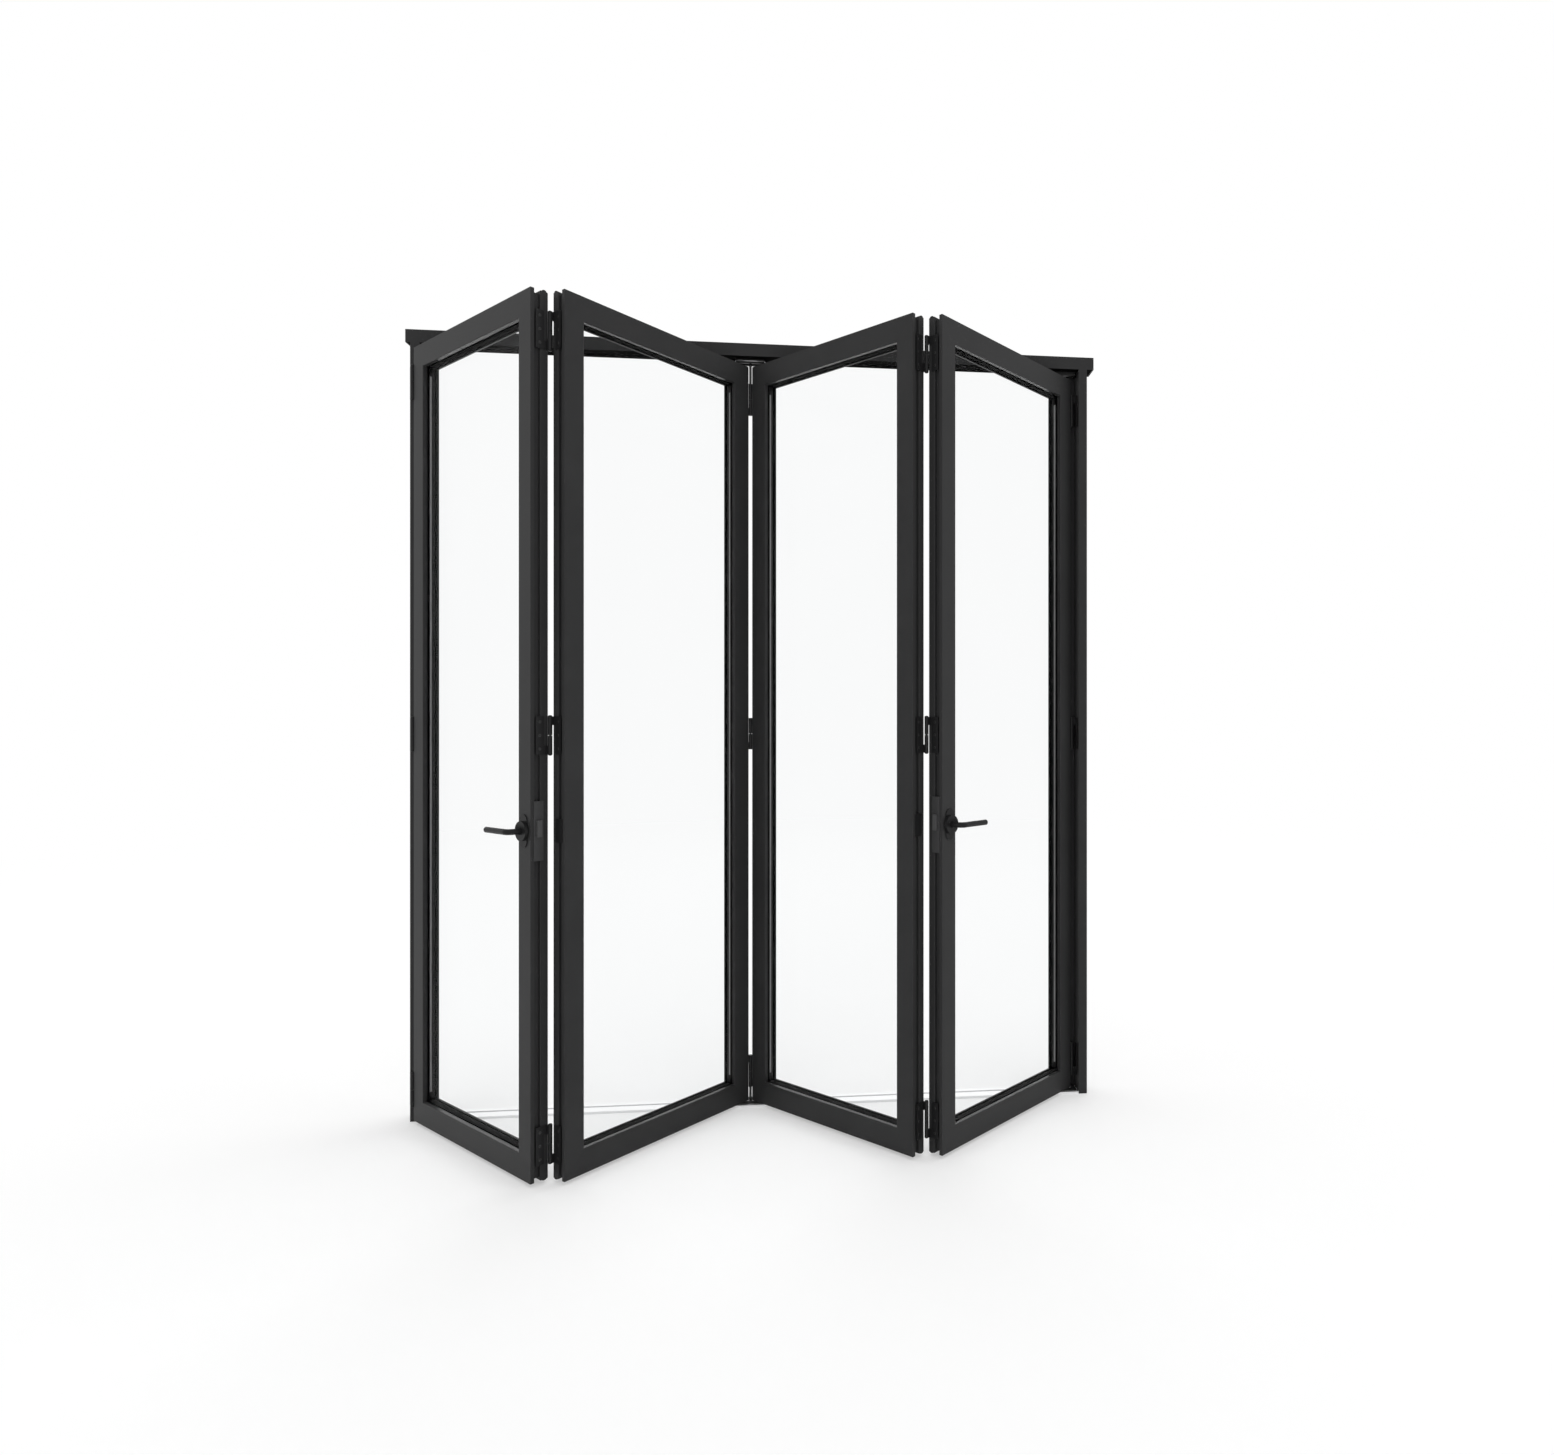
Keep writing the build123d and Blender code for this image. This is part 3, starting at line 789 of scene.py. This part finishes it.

# Guide and pivot blocks: moulded black nylon, each a rounded plate with a slot for the stem or
# pivot pin. They are clipped under the head and let into the floor track, at the middle joint
# and beside both jambs. They are partly real and partly painted shade: their near-black also
# stands for the shade under the head and under the leaves at those places.
head_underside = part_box("head_track")[0][2]
track_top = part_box("floor_track")[1][2]
middle_joint = -0.035
beside_jamb = 0.942
middle_head_block = 0.088
middle_track_block = 0.110
end_block = 0.075
block_places = (
    (middle_joint, middle_head_block, middle_track_block),
    (-beside_jamb, end_block, end_block),
    (beside_jamb, end_block, end_block),
)
block_edge = 0.001
block_corner = 0.006
slot_corner = 0.0035
slot_width = 0.012
corner_steps = 6
head_block_depth = 0.030
head_block_gap = 0.0002
head_block_drop = 0.0125
track_block_depth = 0.054
track_block_sink = 0.001
track_block_rise = 0.0014
# Near-black of the blocks, partly their own colour and partly painted shade.
block_and_shade_black = (0.006, 0.006, 0.006)
block_and_shade_grey = (0.010, 0.010, 0.010)
block_roughness = 0.45


def rounded_loop(centre, length, depth, radius, height):
    """Points of a level rectangle with rounded corners."""
    loop = []
    for quarter, (side, front) in enumerate(((1, 1), (-1, 1), (-1, -1), (1, -1))):
        for step in range(corner_steps + 1):
            angle = math.pi / 2 * (quarter + step / corner_steps)
            x = centre + side * (length / 2 - radius) + radius * math.cos(angle)
            y = front * (depth / 2 - radius) + radius * math.sin(angle)
            loop.append(Vector((x, y, height)))
    return loop


def slotted_plates(name, plates):
    """Plates with a slot and chamfered edges. Each is centre, length, depth, seat and face."""
    shape = bmesh.new()
    chamfer = 2 * block_edge
    for centre, length, depth, seat, face in plates:
        shoulder = face - math.copysign(block_edge, face - seat)
        slot = length - depth / 2
        loops = [
            rounded_loop(centre, length, depth, block_corner, seat),
            rounded_loop(centre, length, depth, block_corner, shoulder),
            rounded_loop(centre, length - chamfer, depth - chamfer, block_corner - block_edge, face),
            rounded_loop(centre, slot + chamfer, slot_width + chamfer, slot_corner + block_edge, face),
            rounded_loop(centre, slot, slot_width, slot_corner, shoulder),
            rounded_loop(centre, slot, slot_width, slot_corner, seat),
        ]
        rings = [[shape.verts.new(point) for point in loop] for loop in loops]
        around = len(rings[0])
        for ring, following in zip(rings, rings[1:] + rings[:1]):
            for corner in range(around):
                after = (corner + 1) % around
                shape.faces.new((ring[corner], ring[after], following[after], following[corner]))
    bmesh.ops.recalc_face_normals(shape, faces=shape.faces[:])
    mesh = bpy.data.meshes.new(name)
    shape.to_mesh(mesh)
    shape.free()
    return piece_of(name, mesh)


block_nylon_and_shade = moulded(
    "block nylon and painted shade", block_and_shade_black, block_and_shade_grey, nylon_grain, block_roughness, nylon_sheen, nylon_relief
)
head_seat = head_underside - head_block_gap
head_face = head_underside - head_block_drop
head_blocks_and_shade = slotted_plates(
    "head_blocks_and_shade",
    [(x, length, head_block_depth, head_seat, head_face) for x, length, _ in block_places],
)
track_seat = track_top - track_block_sink
track_face = track_top + track_block_rise
track_blocks_and_shade = slotted_plates(
    "track_blocks_and_shade",
    [(x, length, track_block_depth, track_seat, track_face) for x, _, length in block_places],
)
# The blocks are near-black: real blocks, and painted shade under the head and leaves.
for piece in (head_blocks_and_shade, track_blocks_and_shade):
    piece.data.materials.append(block_nylon_and_shade)
    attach(piece, "door")

# Painted highlight: a thin strip of plated steel round the block over the middle joint, which
# gives the pale line of a lit edge just under the head.
highlight_band_level = 2.2645
highlight_band_height = 0.0022
highlight_band_lift = 0.0008
highlight_band_length = middle_head_block + 2 * highlight_band_lift
highlight_band_depth = head_block_depth + 2 * highlight_band_lift
highlight_band = slotted_plates(
    "painted_highlight_band", [(middle_joint, highlight_band_length, highlight_band_depth, highlight_band_level + highlight_band_height, highlight_band_level)]
)
# Plated steel on the strip, as a painted highlight.
highlight_band.data.materials.append(plated)
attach(highlight_band, "door")

# Lever handles: cast zinc under a black coat that is smoother than the profiles, each on an
# oblong plate with a round rose. The levers turn on their own bodies.
handle_black = (0.012, 0.012, 0.0125)
handle_grey = (0.018, 0.018, 0.0185)
handle_roughness = (0.26, 0.34)
handle_sheen = 0.12
handle_coat = coated_steel("handle coat", handle_black, handle_grey, handle_roughness, handle_sheen)
for name in ("left_handle_plate", "right_handle_plate", "left_lever", "right_lever"):
    dress(name, handle_coat)

# Locks: a faceplate and a sprung latch on the edge of each leaf that has a lever, and a strike
# on the edge that meets it. The faceplates are dark grey, the strikes black like the hinges and
# the latches phosphated to a paler grey.
faceplate_dark = (0.045, 0.045, 0.046)
faceplate_pale = (0.06, 0.06, 0.061)
faceplate_roughness = (0.3, 0.4)
faceplate_sheen = 0.15
latch_dark = (0.066, 0.066, 0.067)
latch_pale = (0.086, 0.086, 0.087)
latch_roughness = (0.35, 0.45)
latch_sheen = 0.2
faceplate_coat = coated_steel(
    "faceplate coat", faceplate_dark, faceplate_pale, faceplate_roughness, faceplate_sheen
)
latch_steel = coated_steel("phosphated steel", latch_dark, latch_pale, latch_roughness, latch_sheen)
dress("lock_faceplates", faceplate_coat)
dress("strikes", hinge_coat)
dress("latch_bolts", latch_steel)

# Studio: a white floor that keeps the contact shadows and turns into the white surroundings a
# few metres out. The surroundings are white to the camera, to reflections and through glass,
# and weaker as a light, and a wide soft light overhead gives the rest.
floor_white = (1.0, 1.0, 1.0)
floor_roughness = 0.9
floor_size = 60.0
floor_own_white = 0.4
fade_start = 3.5
fade_end = 9.0
room_white = (1.0, 1.0, 1.0)
room_light = 0.7
sun_strength = 1.07
sun_angle = 70.0
sun_tilt = (-12.0, 8.0)


def white_to_the_eye(tree):
    """1 for camera, glossy and transmission rays, and 0 for the light on other things."""
    ray = tree.nodes.new("ShaderNodeLightPath")
    either = tree.nodes.new("ShaderNodeMath")
    either.operation = "ADD"
    any_eye = tree.nodes.new("ShaderNodeMath")
    any_eye.operation = "ADD"
    any_eye.use_clamp = True
    feed(tree, ray.outputs["Is Camera Ray"], either.inputs[0])
    feed(tree, ray.outputs["Is Glossy Ray"], either.inputs[1])
    feed(tree, either.outputs["Value"], any_eye.inputs[0])
    feed(tree, ray.outputs["Is Transmission Ray"], any_eye.inputs[1])
    return any_eye.outputs["Value"]


def studio_floor():
    """White floor, part of whose whiteness is its own, and all of it far out."""
    material, tree, shader, where = material_with_shader("studio floor")
    shader.inputs["Base Color"].default_value = (*floor_white, 1)
    shader.inputs["Roughness"].default_value = floor_roughness
    shader.inputs["Specular IOR Level"].default_value = 0.0
    own_white = tree.nodes.new("ShaderNodeEmission")
    distance = tree.nodes.new("ShaderNodeVectorMath")
    distance.operation = "LENGTH"
    fade = tree.nodes.new("ShaderNodeMapRange")
    fade.interpolation_type = "SMOOTHSTEP"
    fade.inputs["From Min"].default_value = fade_start
    fade.inputs["From Max"].default_value = fade_end
    fade.inputs["To Min"].default_value = floor_own_white
    fade.inputs["To Max"].default_value = 1.0
    share = tree.nodes.new("ShaderNodeMath")
    share.operation = "MULTIPLY"
    either = tree.nodes.new("ShaderNodeMixShader")
    feed(tree, where, distance.inputs[0])
    feed(tree, distance.outputs["Value"], fade.inputs["Value"])
    feed(tree, fade.outputs["Result"], share.inputs[0])
    feed(tree, white_to_the_eye(tree), share.inputs[1])
    feed(tree, share.outputs["Value"], either.inputs["Fac"])
    feed(tree, shader.outputs["BSDF"], either.inputs[1])
    feed(tree, own_white.outputs["Emission"], either.inputs[2])
    feed(tree, either.outputs["Shader"], tree.nodes["Material Output"].inputs["Surface"])
    return material


bpy.ops.mesh.primitive_plane_add(size=floor_size)
floor = bpy.context.object
floor.name = "studio_floor"
floor.data.materials.append(studio_floor())

world = bpy.data.worlds.new("white room")
bpy.context.scene.world = world
world.use_nodes = True
room = world.node_tree
sky = room.nodes["Background"]
sky.inputs["Color"].default_value = (*room_white, 1)
feed(room, value_between(room, white_to_the_eye(room), room_light, 1.0), sky.inputs["Strength"])

sun_data = bpy.data.lights.new("overhead light", "SUN")
sun_data.energy = sun_strength
sun_data.angle = math.radians(sun_angle)
sun = bpy.data.objects.new("overhead light", sun_data)
sun.rotation_euler = (math.radians(sun_tilt[0]), math.radians(sun_tilt[1]), 0)
bpy.context.collection.objects.link(sun)

# Camera: at 1.16 m, level, turned a little to the right, as fitted to the edges of the leaves.
# The shift puts the photograph's vanishing point where it is.
photo_width = 1554
photo_height = 1455
focal_pixels = 959.8
centre_x = 940.2
centre_y = 725.3
sensor_width = 36.0
camera_place = (0.2262, -2.9848, 1.1555)
camera_turn = -6.18
camera_data = bpy.data.cameras.new("camera")
camera_data.sensor_width = sensor_width
camera_data.lens = focal_pixels / photo_width * sensor_width
camera_data.shift_x = (photo_width / 2 - centre_x) / photo_width
camera_data.shift_y = (centre_y - photo_height / 2) / photo_width
camera = bpy.data.objects.new("camera", camera_data)
camera.location = camera_place
camera.rotation_euler = (math.pi / 2, 0, math.radians(camera_turn))
bpy.context.collection.objects.link(camera)
bpy.context.scene.camera = camera

bpy.context.scene.view_settings.view_transform = "Standard"
